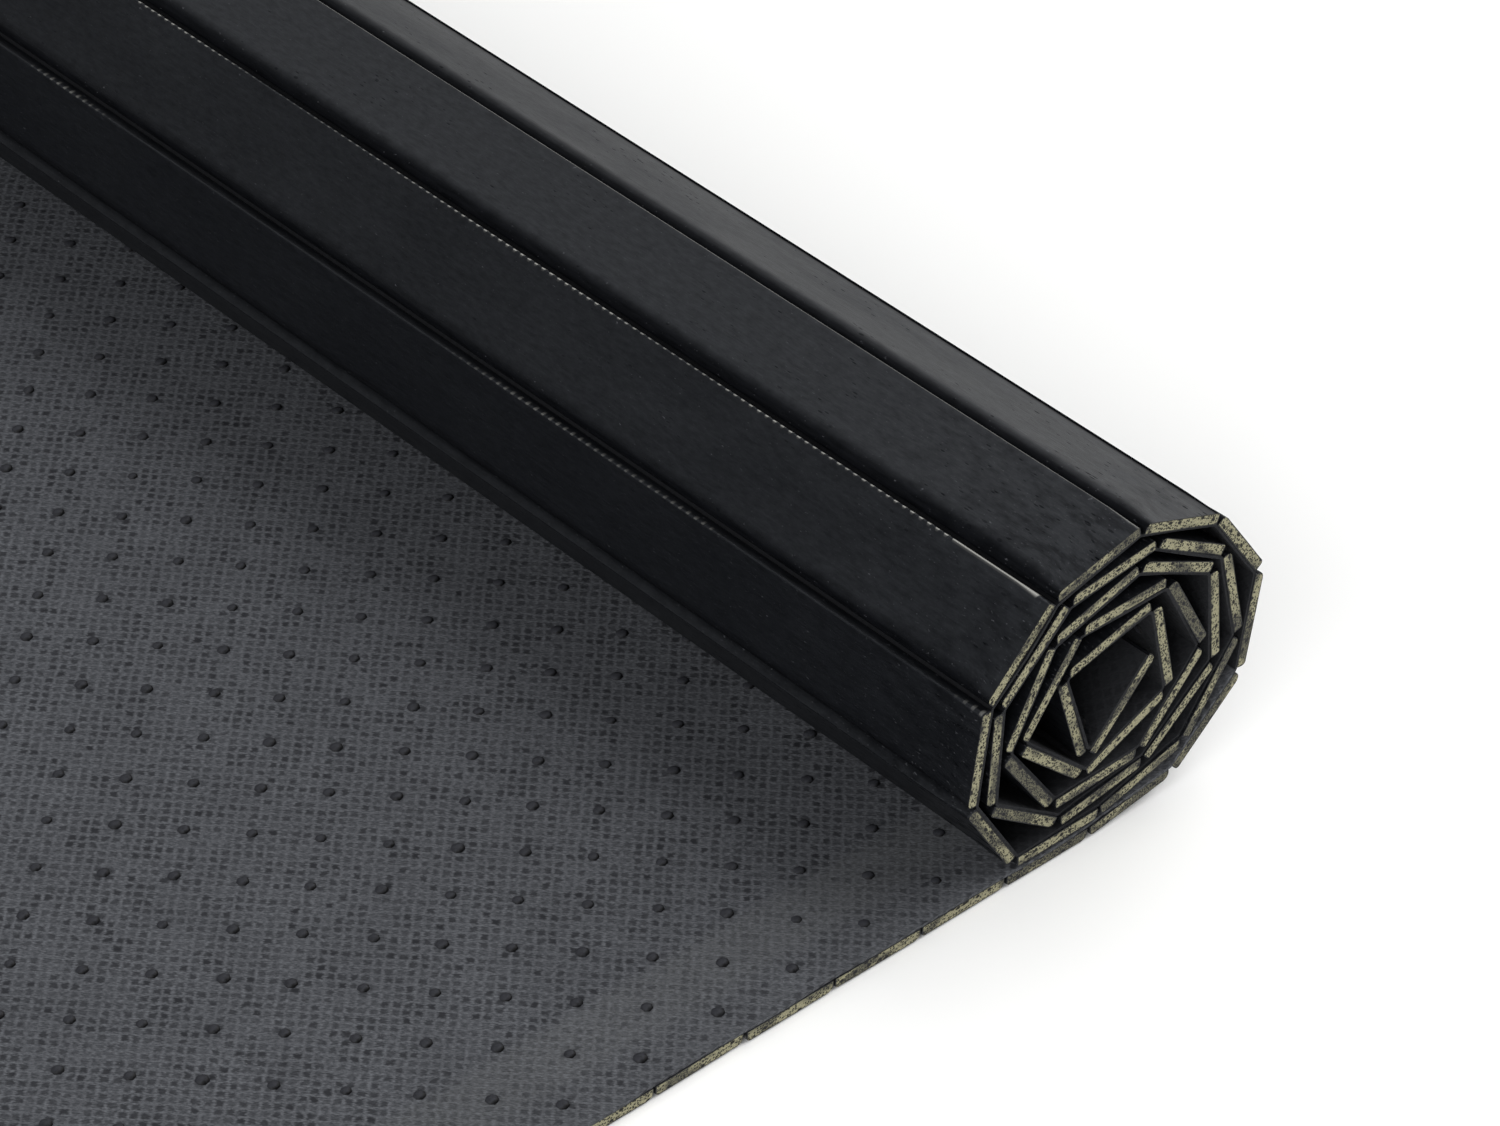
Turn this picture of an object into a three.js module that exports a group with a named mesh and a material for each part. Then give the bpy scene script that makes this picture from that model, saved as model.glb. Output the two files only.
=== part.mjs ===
import * as THREE from 'three';

// A rollable mat of bamboo slats on a cloth backing. It lies face down, backing up, and its
// right-hand end is wound into a loose roll. Sizes are in millimetres. The slats run along Y and
// the section of the mat is worked out in the XZ plane, with the flat slats standing on Z = 0.

const slatWidth = 20;
const slatThickness = 1.8;
const slatLength = 600;
const slatGap = 1.4;
const flatSlats = 20;
const faceEdgeRadius = 0.7;
const backEdgeRadius = 0.2;
const edgeSteps = 2;

const backingThickness = 1;
const backingInset = 1;
const glueGap = 0.3;
const foldRadius = 1;
const foldSteps = 2;
const smallestBend = 0.001;

// How the laps of the roll bed down on each other.
const lapGap = 0.4; // wanted between a lacquered face and the backing outside it
const beddingPasses = 2000;
const startHold = 0.05; // share of the way back to the drawn place in the first pass
const holdFade = 0.7; // share of the passes over which that hold fades to nothing
const innerShare = 0.5; // of an overlap, how much the inner slat moves
const outerShare = 0.15; // and how much the outer one does
const heldSlats = 9; // wound slats from the outside that never give way
const slatsToNextLap = 3; // fewest slats between two that can lie on each other
const flatSlatsUnderRoll = 2;
const deepestOverlap = 6; // deeper ones belong to a slat on the far side of the roll

// Heading of each wound slat in degrees, from the outside of the roll inwards, one row for each
// lap. 0 runs to the right along the floor, 90 is straight up and 180 runs back to the left.
const laps = [
  { lap: 'outermost', headings: [8, 44, 84, 127, 160, 193, 227, 263, 309, 357] },
  { lap: 'second', headings: [16, 59, 108, 152, 190, 226, 272, 329] },
  { lap: 'third', headings: [6, 45, 100, 157, 199, 247, 310] },
  { lap: 'fourth', headings: [2, 54, 122, 183, 243, 321] },
  { lap: 'innermost', headings: [24, 108, 192, 290, 47] },
];

const pitch = slatWidth + slatGap;
const halfBacking = backingThickness / 2;
const glueFace = halfBacking + glueGap;
const lacquerFace = glueFace + slatThickness;

const lacqueredBamboo = { color: 0x1b1c1f, roughness: 0.38, metalness: 0 };
const embossedCloth = { color: 0x4a4c50, roughness: 0.9, metalness: 0 };

// The folds are the lines along which the backing bends between one slat and the next. They lie
// in the middle of the backing, one pitch apart, and slat k hangs between folds k and k + 1.
function layOutFolds() {
  const folds = [];
  for (let k = -flatSlats; k <= 0; k += 1) {
    folds.push(new THREE.Vector2(k * pitch, lacquerFace));
  }
  for (const { headings } of laps) {
    for (const heading of headings) {
      const turn = THREE.MathUtils.degToRad(heading);
      const step = new THREE.Vector2(Math.cos(turn), Math.sin(turn)).multiplyScalar(pitch);
      folds.push(folds[folds.length - 1].clone().add(step));
    }
  }
  return folds;
}

// Unit vectors of slat k: along its width, and out through its lacquered face.
function axesOf(folds, k) {
  const along = folds[k + 1].clone().sub(folds[k]).normalize();
  return { along, outward: new THREE.Vector2(along.y, -along.x) };
}

function middleOf(folds, k) {
  return folds[k].clone().add(folds[k + 1]).multiplyScalar(0.5);
}

// The two long edges of slat k's lacquered face.
function faceEdges(folds, k) {
  const { along, outward } = axesOf(folds, k);
  const middle = middleOf(folds, k).addScaledVector(outward, lacquerFace);
  return [-slatWidth / 2, slatWidth / 2].map((offset) => middle.clone().addScaledVector(along, offset));
}

// Where an edge of the inner slat comes too near the backing of the outer one, it is moved
// inwards, and the outer slat gives way a little unless it belongs to the outermost lap.
function pressEdges(folds, outer, inner) {
  const { along, outward } = axesOf(folds, outer);
  const outerGives = outer >= flatSlats + heldSlats;
  faceEdges(folds, inner).forEach((edge, side) => {
    const from = edge.sub(folds[outer]);
    const station = from.dot(along);
    const overlap = halfBacking + lapGap + from.dot(outward);
    if (station < 0 || station > pitch || overlap < 0 || overlap > deepestOverlap) return;
    folds[inner + side].addScaledVector(outward, -overlap * innerShare);
    if (outerGives) {
      folds[outer].addScaledVector(outward, overlap * outerShare);
      folds[outer + 1].addScaledVector(outward, overlap * outerShare);
    }
  });
}

// Where a fold of the outer lap comes too near the inner slat's face, the inner slat moves in.
function pressFolds(folds, outer, inner) {
  const { along, outward } = axesOf(folds, inner);
  for (const fold of [folds[outer], folds[outer + 1]]) {
    const from = fold.clone().sub(faceEdges(folds, inner)[0]);
    const station = from.dot(along) / slatWidth;
    const overlap = halfBacking + lapGap - from.dot(outward);
    if (station < 0 || station > 1 || overlap < 0 || overlap > deepestOverlap) continue;
    folds[inner].addScaledVector(outward, -overlap * innerShare * (1 - station));
    folds[inner + 1].addScaledVector(outward, -overlap * innerShare * station);
  }
}

// Brings the folds on both sides of slat k back to one pitch apart. The first fold stays put.
function restorePitch(folds, k) {
  const step = folds[k + 1].clone().sub(folds[k]);
  const excess = step.length() - pitch;
  const share = k === flatSlats ? 0 : 0.5;
  step.normalize();
  folds[k].addScaledVector(step, excess * share);
  folds[k + 1].addScaledVector(step, -excess * (1 - share));
}

// Beds the laps down: each pass parts the slats that would cut into the lap outside them and
// restores the pitch, while a hold that fades away draws every fold back to its drawn place.
function bedDown(drawn) {
  const folds = drawn.map((fold) => fold.clone());
  const slats = folds.length - 1;
  for (let pass = 0; pass < beddingPasses; pass += 1) {
    for (let inner = flatSlats + slatsToNextLap; inner < slats; inner += 1) {
      for (let outer = flatSlats - flatSlatsUnderRoll; outer <= inner - slatsToNextLap; outer += 1) {
        pressEdges(folds, outer, inner);
        pressFolds(folds, outer, inner);
      }
    }
    const hold = startHold * Math.max(0, 1 - pass / (beddingPasses * holdFade));
    for (let k = flatSlats + 1; k <= slats; k += 1) folds[k].lerp(drawn[k], hold);
    for (let k = flatSlats; k < slats; k += 1) restorePitch(folds, k);
  }
  return folds;
}

// Section of a slat with its width along X and its lacquered face towards +Y. The long edges of
// the lacquered face are rounded over, and those of the glued face are only eased.
function slatSection() {
  const half = slatWidth / 2;
  const section = new THREE.Shape();
  const quarter = Math.PI / 2;
  const corners = [
    { x: half, y: glueFace, sx: 1, sy: -1, radius: backEdgeRadius },
    { x: half, y: lacquerFace, sx: 1, sy: 1, radius: faceEdgeRadius },
    { x: -half, y: lacquerFace, sx: -1, sy: 1, radius: faceEdgeRadius },
    { x: -half, y: glueFace, sx: -1, sy: -1, radius: backEdgeRadius },
  ];
  corners.forEach(({ x, y, sx, sy, radius }, n) => {
    const start = (n - 1) * quarter;
    section.absarc(x - sx * radius, y - sy * radius, radius, start, start + quarter, false);
  });
  section.closePath();
  return section;
}

// Section of the whole backing: one side out along the folds, the other side back, with a round
// bend at every fold.
function backingSection(folds) {
  const last = folds.length - 2;
  const section = new THREE.Shape();
  const axes = folds.slice(0, -1).map((fold, k) => axesOf(folds, k));
  const endOffset = slatGap / 2 + backingInset;
  const begin = folds[0].clone().addScaledVector(axes[0].along, endOffset);
  const end = folds[last + 1].clone().addScaledVector(axes[last].along, -endOffset);
  const bends = [];
  for (let k = 1; k <= last; k += 1) {
    const before = axes[k - 1];
    const after = axes[k];
    const from = Math.atan2(before.outward.y, before.outward.x);
    const turn = Math.atan2(before.along.cross(after.along), before.along.dot(after.along));
    if (turn < smallestBend) continue;
    const halfway = before.outward.clone().add(after.outward).normalize();
    const centre = folds[k].clone().addScaledVector(halfway, -foldRadius / Math.cos(turn / 2));
    bends.push({ centre, from, to: from + turn });
  }
  const inner = begin.clone().addScaledVector(axes[0].outward, -halfBacking);
  const outer = begin.clone().addScaledVector(axes[0].outward, halfBacking);
  section.moveTo(inner.x, inner.y);
  section.lineTo(outer.x, outer.y);
  for (const { centre, from, to } of bends) {
    section.absarc(centre.x, centre.y, foldRadius + halfBacking, from, to, false);
  }
  for (const side of [halfBacking, -halfBacking]) {
    const corner = end.clone().addScaledVector(axes[last].outward, side);
    section.lineTo(corner.x, corner.y);
  }
  for (const { centre, from, to } of bends.reverse()) {
    section.absarc(centre.x, centre.y, foldRadius - halfBacking, to, from, true);
  }
  section.closePath();
  return section;
}

// A slat standing on its place in the section: its own X runs along the fold-to-fold line, its
// own Y out through the lacquered face and its own Z along the mat's Y.
function makeSlat(geometry, folds, k) {
  const { along, outward } = axesOf(folds, k);
  const middle = middleOf(folds, k);
  const flat = k < flatSlats;
  const number = String(flat ? k + 1 : k + 1 - flatSlats).padStart(2, '0');
  const slat = new THREE.Mesh(geometry, new THREE.MeshStandardMaterial(lacqueredBamboo));
  const basis = new THREE.Matrix4().makeBasis(
    new THREE.Vector3(along.x, 0, along.y),
    new THREE.Vector3(outward.x, 0, outward.y),
    new THREE.Vector3(0, 1, 0),
  );
  slat.name = `${flat ? 'flat_slat' : 'wound_slat'}_${number}`;
  slat.quaternion.setFromRotationMatrix(basis);
  slat.position.set(middle.x, -slatLength / 2, middle.y);
  return slat;
}

function makeBacking(folds) {
  const depth = slatLength - 2 * backingInset;
  const geometry = new THREE.ExtrudeGeometry(backingSection(folds), {
    depth, curveSegments: foldSteps, bevelEnabled: false,
  });
  const backing = new THREE.Mesh(geometry, new THREE.MeshStandardMaterial(embossedCloth));
  backing.name = 'backing';
  backing.rotation.x = Math.PI / 2;
  backing.position.y = depth / 2;
  return backing;
}

const folds = bedDown(layOutFolds());
const slatGeometry = new THREE.ExtrudeGeometry(slatSection(), {
  depth: slatLength, curveSegments: edgeSteps, bevelEnabled: false,
});
const mat = new THREE.Group();
for (let k = 0; k < folds.length - 1; k += 1) mat.add(makeSlat(slatGeometry, folds, k));
mat.add(makeBacking(folds));

// The origin is at the middle of the mat's outline on the floor.
const outline = new THREE.Box3().setFromObject(mat, true);
mat.position.x = -(outline.min.x + outline.max.x) / 2;

export default mat;
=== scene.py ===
import math

import bpy
import numpy as np
from mathutils import Matrix, Vector


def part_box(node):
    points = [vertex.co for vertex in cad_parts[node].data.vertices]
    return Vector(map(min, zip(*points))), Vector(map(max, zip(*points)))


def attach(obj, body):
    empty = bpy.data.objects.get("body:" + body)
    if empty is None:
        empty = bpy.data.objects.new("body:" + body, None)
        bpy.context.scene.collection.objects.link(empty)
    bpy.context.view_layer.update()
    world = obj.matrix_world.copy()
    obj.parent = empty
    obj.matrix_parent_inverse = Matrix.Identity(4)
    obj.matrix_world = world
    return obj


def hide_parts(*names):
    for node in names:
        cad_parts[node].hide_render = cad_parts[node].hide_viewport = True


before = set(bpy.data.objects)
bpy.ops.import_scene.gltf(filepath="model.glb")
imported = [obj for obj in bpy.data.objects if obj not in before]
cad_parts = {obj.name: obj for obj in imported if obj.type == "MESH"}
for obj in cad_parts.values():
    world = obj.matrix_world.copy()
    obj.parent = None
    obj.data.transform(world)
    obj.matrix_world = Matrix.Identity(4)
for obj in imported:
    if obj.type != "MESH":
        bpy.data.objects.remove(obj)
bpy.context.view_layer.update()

mm = 0.001
chance = np.random.default_rng(seed=11)


# Colours and nodes

def linear(hexColour):
    # sRGB to linear: c / 12.92 below 0.04045, else ((c + 0.055) / 1.055) ^ 2.4
    c = np.array([int(hexColour[i:i + 2], 16) for i in (1, 3, 5)]) / 255
    return (*np.where(c <= 0.04045, c / 12.92, ((c + 0.055) / 1.055) ** 2.4).tolist(), 1.0)


def perMetre(size):
    # how often a pattern repeats in a metre, each way: 1 over the size of one of it, given in mm
    return 1 / (size[0] * mm), 1 / (size[1] * mm), 1


def addNode(tree, kind, inputs=None, output=0, **settings):
    # settings are the node's own values; inputs are numbers, colours or sockets to link from; the
    # named or numbered output socket comes back. A colour Mix takes its share at 0 and its two
    # colours at 6 and 7, and gives the result at 2.
    node = tree.nodes.new(f"ShaderNode{kind}")
    for key, value in settings.items():
        setattr(node, key, value)
    for key, value in (inputs or {}).items():
        if isinstance(value, bpy.types.NodeSocket):
            tree.links.new(value, node.inputs[key])
        else:
            node.inputs[key].default_value = value
    return node.outputs[output]


def newMaterial(name, shaderInputs):
    # shaderInputs are the values that are the same all over the surface
    material = bpy.data.materials.new(name)
    material.use_nodes = True
    tree = material.node_tree
    shader = tree.nodes["Principled BSDF"]
    for key, value in shaderInputs.items():
        shader.inputs[key].default_value = value
    return material, tree, shader


# Where the slats lie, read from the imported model

sandwich = {
    "slatGap": 1.4,        # between two slats on the backing, mm
    "modelGlueGap": 0.3,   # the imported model's gap between slat and backing
    "modelBacking": 1.0,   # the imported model's backing thickness
    "backing": 0.6,        # real thickness of the nonwoven sheet
    "foldRadius": 1.0,     # of the sheet's middle line where it bends between two slats
}


def readSlats():
    # middle = middle of the section's extent, along = its longest direction with the chain's sense,
    # outward = along turned by -90 degrees, which is out through the lacquered face
    names = sorted(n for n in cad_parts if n.startswith("flat_slat"))
    names += sorted(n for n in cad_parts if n.startswith("wound_slat"))
    middles, directions, extents = [], [], []
    for name in names:
        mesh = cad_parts[name].data
        co = np.empty(len(mesh.vertices) * 3)
        mesh.vertices.foreach_get("co", co)
        section = np.unique(np.round(co.reshape(-1, 3)[:, [0, 2]], 7), axis=0)
        main = np.linalg.eigh(np.cov(section.T))[1][:, 1]
        axes = np.array([main, [main[1], -main[0]]])
        spread = section @ axes.T
        low, high = spread.min(0), spread.max(0)
        middles.append((low + high) / 2 @ axes)
        directions.append(main)
        extents.append(high - low)
    middles, directions = np.array(middles), np.array(directions)
    toNext = np.diff(middles, axis=0)
    toNext = np.vstack([toNext, toNext[-1]])
    along = directions * np.sign((directions * toNext).sum(1))[:, None]
    outward = np.stack([along[:, 1], -along[:, 0]], 1)
    width, thickness = np.median(np.array(extents), axis=0)
    return names, middles, along, outward, width, thickness


slatNames, slatMiddles, slatAlong, slatOutward, slatWidth, slatThickness = readSlats()
slatLow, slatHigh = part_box(slatNames[0])
halfLength = (slatHigh.y - slatLow.y) / 2
slatLength = 2 * halfLength / mm
pitch = slatWidth + sandwich["slatGap"] * mm
toFoldLine = slatThickness / 2 + (sandwich["modelGlueGap"] + sandwich["modelBacking"] / 2) * mm
foldMiddles = slatMiddles - slatOutward * toFoldLine
foldStarts = foldMiddles - slatAlong * pitch / 2
foldEnds = foldMiddles + slatAlong * pitch / 2
glueLevel = sandwich["backing"] / 2 * mm
faceLevel = toFoldLine + slatThickness / 2
print("slats read:", len(slatNames), "width", round(slatWidth, 5), "pitch", round(pitch, 5))


# Meshes

smoothBelow = 38       # degrees between two faces of a board that still look like one
farCapShift = 0.5      # metres in the pattern, so that a board's two ends differ


def signedVolume(points, quads):
    # sum of a . (b x c) / 6 over the triangles, positive where the faces point outwards
    a, b, c, d = (points[quads[:, i]] for i in range(4))
    return float((a * np.cross(b, c)).sum() + (a * np.cross(c, d)).sum()) / 6


def putQuads(name, points, quads, loopUvs, materialIndex, pointValues):
    # points (n, 3), quads (m, 4), loopUvs name -> (m, 4, 2), materialIndex (m),
    # pointValues name -> (n); every face is turned round if the signed volume is below 0
    order = slice(None, None, -1 if signedVolume(points, quads) < 0 else 1)
    quads = quads[:, order]
    mesh = bpy.data.meshes.new(name)
    mesh.vertices.add(len(points))
    mesh.vertices.foreach_set("co", points.astype(np.float32).ravel())
    mesh.loops.add(quads.size)
    mesh.loops.foreach_set("vertex_index", quads.astype(np.int32).ravel())
    mesh.polygons.add(len(quads))
    mesh.polygons.foreach_set("loop_start", np.arange(0, quads.size, 4, dtype=np.int32))
    mesh.polygons.foreach_set("material_index", materialIndex.astype(np.int32))
    mesh.update(calc_edges=True)
    for key, uv in loopUvs.items():
        layer = mesh.uv_layers.new(name=key)
        layer.data.foreach_set("uv", uv[:, order].astype(np.float32).ravel())
    for key, values in pointValues.items():
        attribute = mesh.attributes.new(key, "FLOAT", "POINT")
        attribute.data.foreach_set("value", values.astype(np.float32))
    mesh.polygons.foreach_set("use_smooth", np.ones(len(quads), bool))
    mesh.set_sharp_from_angle(angle=math.radians(smoothBelow))
    mesh.validate()
    piece = bpy.data.objects.new(name, mesh)
    bpy.context.scene.collection.objects.link(piece)
    return piece


def closedBoard(name, rings, capUv, uvShift, pointValues, sideMaterials, capMaterial=1):
    # A board whose section is a ring of 2m points, lower side out and upper side back, carried along
    # n stations: rings (n, 2m, 3). Side faces join ring to ring, and each cap joins lower point k to
    # upper point k. capUv (2m, 2) are the section's own coordinates, and sideMaterials (2m) gives
    # the material of the faces that start at each point of the ring.
    n, size, _ = rings.shape
    half = size // 2
    index = np.arange(n * size).reshape(n, size)
    after = np.roll(index, -1, axis=1)
    sides = np.stack([index[:-1], after[:-1], after[1:], index[1:]], -1).reshape(-1, 4)
    lower, upper = np.arange(half), np.arange(size - 1, half - 1, -1)
    cap = np.stack([lower[:-1], upper[:-1], upper[1:], lower[1:]], -1)
    farCap = cap[:, ::-1]
    caps = np.concatenate([index[0][cap], index[-1][farCap]])
    # the side faces' UV is the way round the section and the station, both in metres
    step = np.linalg.norm(np.diff(np.vstack([capUv, capUv[:1]]), axis=0), axis=1)
    around = np.concatenate([[0], np.cumsum(step)]) + uvShift[0]
    station = rings[:, 0, 1]
    u0, u1 = (np.broadcast_to(part, (n - 1, size)) for part in (around[:-1], around[1:]))
    v0, v1 = (np.broadcast_to(part[:, None], (n - 1, size)) for part in (station[:-1], station[1:]))
    sideUv = np.stack([np.stack([u0, v0], -1), np.stack([u1, v0], -1),
                       np.stack([u1, v1], -1), np.stack([u0, v1], -1)], -2).reshape(-1, 4, 2)
    endUv = np.concatenate([capUv[cap], capUv[farCap] + farCapShift]) + uvShift
    # a second UV runs from -1 to 1 across the section and from -1 to 1 through it
    low, high = capUv.min(0), capUv.max(0)
    span = (capUv - low) / (high - low) * 2 - 1
    uvs = {"surface": np.concatenate([sideUv, endUv]),
           "section": np.concatenate([np.zeros_like(sideUv), span[cap], span[farCap]])}
    quads = np.concatenate([sides, caps])
    materialIndex = np.concatenate([np.tile(sideMaterials, n - 1), np.full(len(caps), capMaterial)])
    return putQuads(name, rings.reshape(-1, 3), quads, uvs, materialIndex, pointValues)


def finishPiece(piece, materials, nodes):
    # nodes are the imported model's solids that the piece stands for
    for material in materials:
        piece.data.materials.append(material)
    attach(piece, "root")
    if nodes:
        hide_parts(*nodes)
    return piece


# Black satin lacquer, sprayed on planed bamboo: a dark sheen with the grain and small dull pits
# showing through as dashes along the slat, and a long edge painted pale in beads: partly wear,
# partly a painted highlight for the glints along that edge

lacquer = {
    "colour": "#101114",
    "grainColour": "#08090b",
    "sheenTint": "#edf4ff",
    "dustColour": "#55565a",
    # pale colour of worn edges, also a painted highlight for the glints along some edges
    "glintAndWearColour": "#9c9b96",
    "grain": (0.45, 7.0),      # across and along the slat, mm, as for the patterns below
    "mottle": (12.0, 40.0),
    "patch": (8.0, 24.0),      # where the pits are larger
    "pit": (1.1, 3.4),
    "dust": (0.45, 1.3),
    "streak": (1.1, 3.0),
    "scuff": (3.0, 9.0),       # dull smudges, most of them near the ends
    "bead": (50.0, 2.1),
    "pitReach": (0.03, 0.17, 0.17),    # of its cell: anywhere, more in a patch, more near the ends
    "dustAtEnds": 0.07,
    "dustStrength": 0.55,
    "roughness": (0.33, 0.47),
    "roughnessOfPits": 0.25,   # added to it
    "shine": (0.34, 0.56),
    "shineOfPits": -0.2,       # added to it
    "shineOfScuffs": -0.3,
    "relief": 0.04,            # height of the bump, mm
}


def makeLacquer():
    material, tree, shader = newMaterial("blackSatinLacquer", {
        "IOR": 1.5, "Specular Tint": linear(lacquer["sheenTint"])})
    uv = addNode(tree, "UVMap", uv_map="surface")
    fields = {}
    for key, detail, rough in (("grain", 4, 0.62), ("mottle", 3, 0.55), ("patch", 2, 0.5),
                               ("dust", 2, 0.7), ("streak", 3, 0.65), ("scuff", 3, 0.6)):
        place = addNode(tree, "Mapping", {"Vector": uv, "Scale": perMetre(lacquer[key])})
        fields[key] = addNode(tree, "TexNoise", {
            "Vector": place, "Scale": 1, "Detail": detail, "Roughness": rough})
    endNear, edge, rub, beaded, dullEdge = (
        addNode(tree, "Attribute", output="Fac", attribute_name=name)
        for name in ("endNear", "edge", "rub", "beaded", "dull"))

    # a pit fills its cell as far as its reach
    anywhere, inPatches, atEnds = lacquer["pitReach"]
    patch = addNode(tree, "MapRange", {
        "Value": fields["patch"], "From Min": 0.44, "From Max": 0.62})
    reach = addNode(tree, "Math", {0: patch, 1: inPatches, 2: anywhere}, operation="MULTIPLY_ADD")
    reach = addNode(tree, "Math", {0: endNear, 1: atEnds, 2: reach}, operation="MULTIPLY_ADD")
    pitPlace = addNode(tree, "Mapping", {"Vector": uv, "Scale": perMetre(lacquer["pit"])})
    pitFar = addNode(tree, "TexVoronoi", {"Vector": pitPlace, "Scale": 1}, "Distance")
    pitDepth = addNode(tree, "Math", {0: reach, 1: pitFar}, operation="SUBTRACT")
    pit = addNode(tree, "MapRange", {"Value": pitDepth, "From Max": 0.08})
    speck = addNode(tree, "Math", {
        0: endNear, 1: lacquer["dustAtEnds"], 2: fields["dust"]}, operation="MULTIPLY_ADD")
    dust = addNode(tree, "MapRange", {
        "Value": speck, "From Min": 0.68, "From Max": 0.76, "To Max": lacquer["dustStrength"]})

    # the beads of wear and painted glint: a wave along the slat, one to each bead, on the edge's own
    # attribute; a wave node turns by 20 radians for each unit, so that a scale of 2 pi / 20 gives one
    # wave to a bead
    beadPlace = addNode(tree, "Mapping", {"Vector": uv, "Scale": perMetre(lacquer["bead"])})
    bead = addNode(tree, "TexWave", {
        "Vector": beadPlace, "Scale": 0.314, "Distortion": 1.2, "Detail": 2}, bands_direction="Y")
    between = addNode(tree, "MapRange", {"Value": beaded, "To Min": 1, "To Max": 0})
    beads = addNode(tree, "MapRange", {
        "Value": bead, "From Min": 0.4, "From Max": 0.85, "To Min": between, "To Max": 1})
    # painted highlight: on the slats named in the slat table this pale edge colour also stands in for
    # glints of light
    wear = addNode(tree, "Math", {0: edge, 1: rub}, operation="MULTIPLY")
    wear = addNode(tree, "Math", {0: wear, 1: beads}, operation="MULTIPLY")
    wornAndGlintShare = addNode(tree, "MapRange", {"Value": wear, "From Min": 0.1, "From Max": 0.6})

    grain = addNode(tree, "MapRange", {
        "Value": fields["grain"], "From Min": 0.38, "From Max": 0.66})
    colour = linear(lacquer["colour"])
    for share, name in ((grain, "grainColour"), (dust, "dustColour"), (wornAndGlintShare, "glintAndWearColour")):
        layer = {0: share, 6: colour, 7: linear(lacquer[name])}
        colour = addNode(tree, "Mix", layer, 2, data_type="RGBA")
    tree.links.new(colour, shader.inputs["Base Color"])

    low, high = lacquer["roughness"]
    rough = addNode(tree, "MapRange", {
        "Value": fields["mottle"], "From Min": 0.32, "From Max": 0.68, "To Min": low, "To Max": high})
    rough = addNode(tree, "Math", {
        0: pit, 1: lacquer["roughnessOfPits"], 2: rough}, operation="MULTIPLY_ADD")
    tree.links.new(rough, shader.inputs["Roughness"])
    low, high = lacquer["shine"]
    shine = addNode(tree, "MapRange", {
        "Value": fields["streak"], "From Min": 0.3, "From Max": 0.7, "To Min": low, "To Max": high})
    shine = addNode(tree, "Math", {
        0: pit, 1: lacquer["shineOfPits"], 2: shine}, operation="MULTIPLY_ADD")
    scuff = addNode(tree, "MapRange", {
        "Value": fields["scuff"], "From Min": 0.44, "From Max": 0.58,
        "To Max": lacquer["shineOfScuffs"]})
    shine = addNode(tree, "Math", {0: scuff, 1: endNear, 2: shine}, operation="MULTIPLY_ADD")
    glossy = addNode(tree, "Math", {0: 1, 1: dullEdge}, operation="SUBTRACT")
    shine = addNode(tree, "Math", {0: shine, 1: glossy}, operation="MULTIPLY", use_clamp=True)
    tree.links.new(shine, shader.inputs["Specular IOR Level"])

    height = addNode(tree, "Math", {
        0: fields["mottle"], 1: 5, 2: fields["grain"]}, operation="MULTIPLY_ADD")
    height = addNode(tree, "Math", {0: pit, 1: -0.7, 2: height}, operation="MULTIPLY_ADD")
    bump = addNode(tree, "Bump", {
        "Height": height, "Strength": 0.7, "Distance": lacquer["relief"] * mm})
    tree.links.new(bump, shader.inputs["Normal"])
    return material


# Bamboo sawn across: pale straw end grain, packed with the dark dots of the fibre bundles, and
# rimmed and stained in places by lacquer that ran over the cut

sawnBamboo = {
    "colour": "#74725f",
    "lightColour": "#b0ab8a",
    "bundleColour": "#1c1b19",
    "stainColour": "#202126",
    "bundle": (0.62, 0.5),     # spacing of the dark bundles across and through the slat, mm
    "fibre": (0.26, 0.2),
    "fleck": (0.6, 0.4),
    "crowd": (6.0, 3.0),       # where the bundles stand closer
    "hole": (3.0, 1.9),        # larger dark vessels, mm apart
    "holeShare": 0.6,          # of their places that have one
    "stain": (11.0, 4.0),
    "stainByEnd": 0.17,        # how much more of a stained end is stained
    "relief": 0.1,
}


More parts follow.
